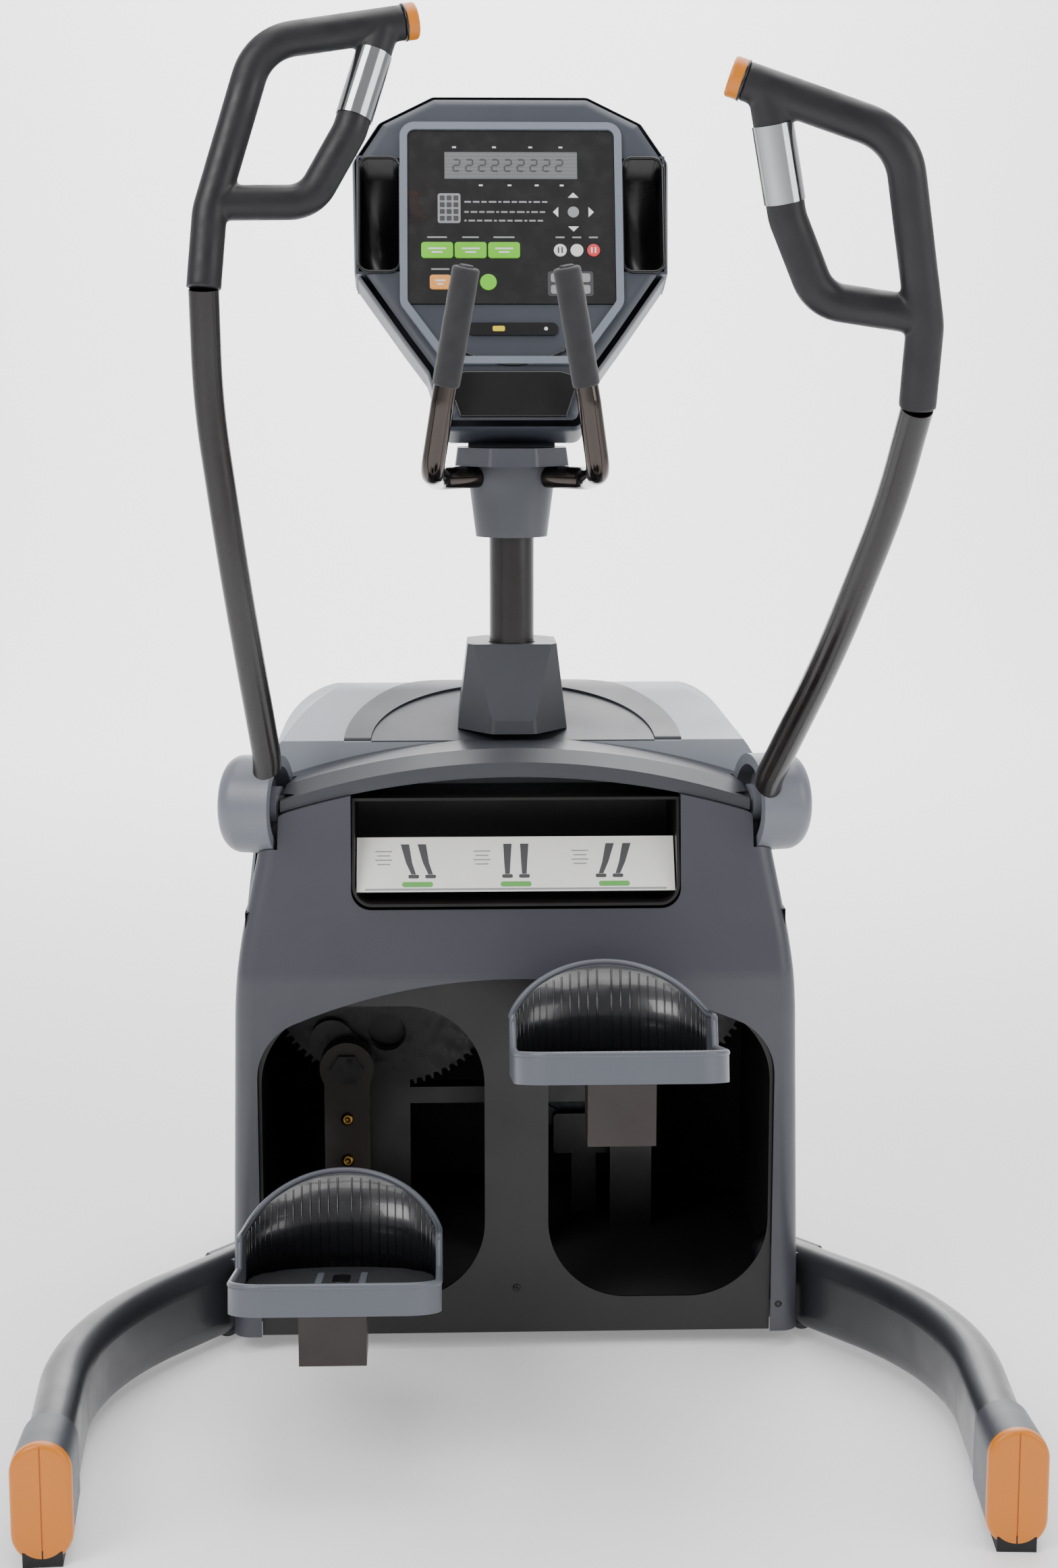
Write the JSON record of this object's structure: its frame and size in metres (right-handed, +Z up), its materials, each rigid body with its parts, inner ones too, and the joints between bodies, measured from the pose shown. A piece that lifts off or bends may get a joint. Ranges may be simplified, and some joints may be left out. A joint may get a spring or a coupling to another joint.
{
  "type": "elliptical trainer",
  "caption": "Lateral-motion elliptical trainer: two pedals on elliptical paths, two swinging handlebars, covered drive, curved rear legs and a console on a mast.",
  "frame": {"origin": "on the floor, under the middle of the machine's box", "axes": "+X to the user's right, +Y forward from the user to the machine's nose, +Z up"},
  "size_m": [1.1644, 1.2017, 1.7296],
  "materials": {
    "hood_plastic": "satin moulded",
    "bridge_plastic": "satin moulded",
    "front_plastic": "satin moulded",
    "dark_plastic": "satin moulded",
    "panel_plastic": "fine texture",
    "placard_print": "printed sheet",
    "mast_paint": "satin powder coat",
    "cuff_plastic": "satin moulded",
    "console_plastic": "satin moulded",
    "bezel_plastic": "silver paint",
    "overlay_film": "printed film",
    "display_glass": "grey display window",
    "green_key": "printed key",
    "orange_key": "printed key",
    "white_key": "printed key",
    "red_key": "printed key",
    "chrome": "polished",
    "foam_grip": "closed foam",
    "rubber_grip": "soft moulded",
    "button_plastic": "fine texture",
    "machined_steel": "machined",
    "black_steel": "powder coat",
    "cast_iron": "turned",
    "belt_rubber": "ribbed belt",
    "foot_rubber": "moulded",
    "arm_paint": "satin powder coat",
    "pedal_plastic": "satin moulded",
    "pad_rubber": "textured",
    "leg_paint": "satin powder coat",
    "sleeve_plastic": "satin moulded",
    "orange_plastic": "satin moulded",
    "hub_plastic": "satin moulded",
    "handle_paint": "satin powder coat"
  },
  "bodies": {
    "frame": {"rear_cover": "hood_plastic", "bridge_cover": "bridge_plastic", "front_cover": "front_plastic", "ring_band": "dark_plastic", "deck_cover": "dark_plastic", "mast_boot": "dark_plastic", "rear_panel": "panel_plastic", "storage_tray": "panel_plastic", "placard": "placard_print", "mast": "mast_paint", "mast_cuff": "cuff_plastic", "console_bracket": "cuff_plastic", "console_shell": "console_plastic", "console_bezel": "bezel_plastic", "console_panel": "overlay_film", "display_window": "display_glass", "fixed_handles": "chrome", "fixed_grips": "foam_grip", "base_frame": "black_steel", "crank_bearings": "black_steel", "brake_unit": "black_steel", "drive_belt": "belt_rubber", "rubber_feet": "foot_rubber", "leg_tube_left": "leg_paint", "leg_tube_right": "leg_paint", "leg_sleeve_left": "sleeve_plastic", "leg_sleeve_right": "sleeve_plastic", "leg_collars": "sleeve_plastic", "leg_caps": "orange_plastic"},
    "crank_left": {"crank_left": "machined_steel"},
    "crank_right": {"crank_right": "machined_steel"},
    "link_disc_left": {"link_disc_left": "machined_steel"},
    "link_disc_right": {"link_disc_right": "machined_steel"},
    "pedal_left": {"pedal_arm_left": "arm_paint", "pedal_tray_left": "pedal_plastic", "pedal_pad_left": "pad_rubber"},
    "pedal_right": {"pedal_arm_right": "arm_paint", "pedal_tray_right": "pedal_plastic", "pedal_pad_right": "pad_rubber"},
    "flywheel": {"flywheel": "cast_iron"},
    "handlebar_left": {"hub_drum_left": "hub_plastic", "handle_tube_left": "handle_paint", "handle_grip_left": "rubber_grip", "pulse_plates_left": "chrome", "handle_cap_left": "orange_plastic"},
    "handlebar_right": {"hub_drum_right": "hub_plastic", "handle_tube_right": "handle_paint", "handle_grip_right": "rubber_grip", "pulse_plates_right": "chrome", "handle_cap_right": "orange_plastic"},
    "quick_key_1": {"quick_key_1": "green_key"},
    "quick_key_2": {"quick_key_2": "green_key"},
    "quick_key_3": {"quick_key_3": "green_key"},
    "menu_key": {"menu_key": "orange_key"},
    "go_key": {"go_key": "green_key"},
    "pause_key": {"pause_key": "white_key"},
    "reset_key": {"reset_key": "white_key"},
    "stop_key": {"stop_key": "red_key"},
    "thumb_button_left": {"thumb_button_left": "button_plastic"},
    "thumb_button_right": {"thumb_button_right": "button_plastic"}
  },
  "joints": [
    {"name": "crank_left_turn", "type": "hinge", "parent": "frame", "child": "crank_left", "pos_m": [-0.174, 0.29, 0.46], "axis": [0, 1, 0], "continuous": true},
    {"name": "link_left_turn", "type": "hinge", "parent": "crank_left", "child": "link_disc_left", "pos_m": [-0.2535, 0.28, 0.354], "axis": [0, 1, 0], "continuous": true},
    {"name": "arm_left_turn", "type": "hinge", "parent": "link_disc_left", "child": "pedal_left", "pos_m": [-0.231, 0.24, 0.324], "axis": [0, 1, 0], "continuous": true},
    {"name": "crank_right_turn", "type": "hinge", "parent": "frame", "child": "crank_right", "pos_m": [0.174, 0.29, 0.46], "axis": [0, 1, 0], "continuous": true},
    {"name": "link_right_turn", "type": "hinge", "parent": "crank_right", "child": "link_disc_right", "pos_m": [0.0945, 0.28, 0.566], "axis": [0, 1, 0], "continuous": true},
    {"name": "arm_right_turn", "type": "hinge", "parent": "link_disc_right", "child": "pedal_right", "pos_m": [0.117, 0.24, 0.596], "axis": [0, 1, 0], "continuous": true},
    {"name": "flywheel_turn", "type": "hinge", "parent": "frame", "child": "flywheel", "pos_m": [0.11, 0.4, 0.3], "axis": [0, 1, 0], "continuous": true},
    {"name": "handlebar_left_swing", "type": "hinge", "parent": "frame", "child": "handlebar_left", "pos_m": [-0.335, 0.06, 0.731], "axis": [0.9732, -0.23, 0], "range_deg": [0, 25.2]},
    {"name": "handlebar_right_swing", "type": "hinge", "parent": "frame", "child": "handlebar_right", "pos_m": [0.335, 0.06, 0.731], "axis": [0.9732, 0.23, 0], "range_deg": [-25.2, 0]},
    {"name": "quick_key_1_press", "type": "slide", "parent": "frame", "child": "quick_key_1", "axis": [0, 0.9478, -0.319], "range_m": [0, 0.001], "stiffness_N_per_m": 800, "springref_m": -0.0004},
    {"name": "quick_key_2_press", "type": "slide", "parent": "frame", "child": "quick_key_2", "axis": [0, 0.9478, -0.319], "range_m": [0, 0.001], "stiffness_N_per_m": 800, "springref_m": -0.0004},
    {"name": "quick_key_3_press", "type": "slide", "parent": "frame", "child": "quick_key_3", "axis": [0, 0.9478, -0.319], "range_m": [0, 0.001], "stiffness_N_per_m": 800, "springref_m": -0.0004},
    {"name": "menu_key_press", "type": "slide", "parent": "frame", "child": "menu_key", "axis": [0, 0.9478, -0.319], "range_m": [0, 0.001], "stiffness_N_per_m": 800, "springref_m": -0.0004},
    {"name": "go_key_press", "type": "slide", "parent": "frame", "child": "go_key", "axis": [0, 0.9478, -0.319], "range_m": [0, 0.001], "stiffness_N_per_m": 800, "springref_m": -0.0004},
    {"name": "pause_key_press", "type": "slide", "parent": "frame", "child": "pause_key", "axis": [0, 0.9478, -0.319], "range_m": [0, 0.001], "stiffness_N_per_m": 800, "springref_m": -0.0004},
    {"name": "reset_key_press", "type": "slide", "parent": "frame", "child": "reset_key", "axis": [0, 0.9478, -0.319], "range_m": [0, 0.001], "stiffness_N_per_m": 800, "springref_m": -0.0004},
    {"name": "stop_key_press", "type": "slide", "parent": "frame", "child": "stop_key", "axis": [0, 0.9478, -0.319], "range_m": [0, 0.001], "stiffness_N_per_m": 800, "springref_m": -0.0004},
    {"name": "thumb_button_left_press", "type": "slide", "parent": "frame", "child": "thumb_button_left", "axis": [-0.1766, 0.1135, -0.9777], "range_m": [0, 0.0015], "stiffness_N_per_m": 800, "springref_m": -0.0004},
    {"name": "thumb_button_right_press", "type": "slide", "parent": "frame", "child": "thumb_button_right", "axis": [0.1766, 0.1135, -0.9777], "range_m": [0, 0.0015], "stiffness_N_per_m": 800, "springref_m": -0.0004}
  ],
  "couplings": [
    {"joint": "crank_right_turn", "follows": "crank_left_turn", "ratio": -1},
    {"joint": "link_left_turn", "follows": "crank_left_turn", "ratio": -2},
    {"joint": "arm_left_turn", "follows": "crank_left_turn", "ratio": 1},
    {"joint": "link_right_turn", "follows": "crank_left_turn", "ratio": 2},
    {"joint": "arm_right_turn", "follows": "crank_left_turn", "ratio": -1},
    {"joint": "flywheel_turn", "follows": "crank_left_turn", "ratio": 4},
    {"joint": "handlebar_right_swing", "follows": "handlebar_left_swing", "ratio": -1}
  ]
}
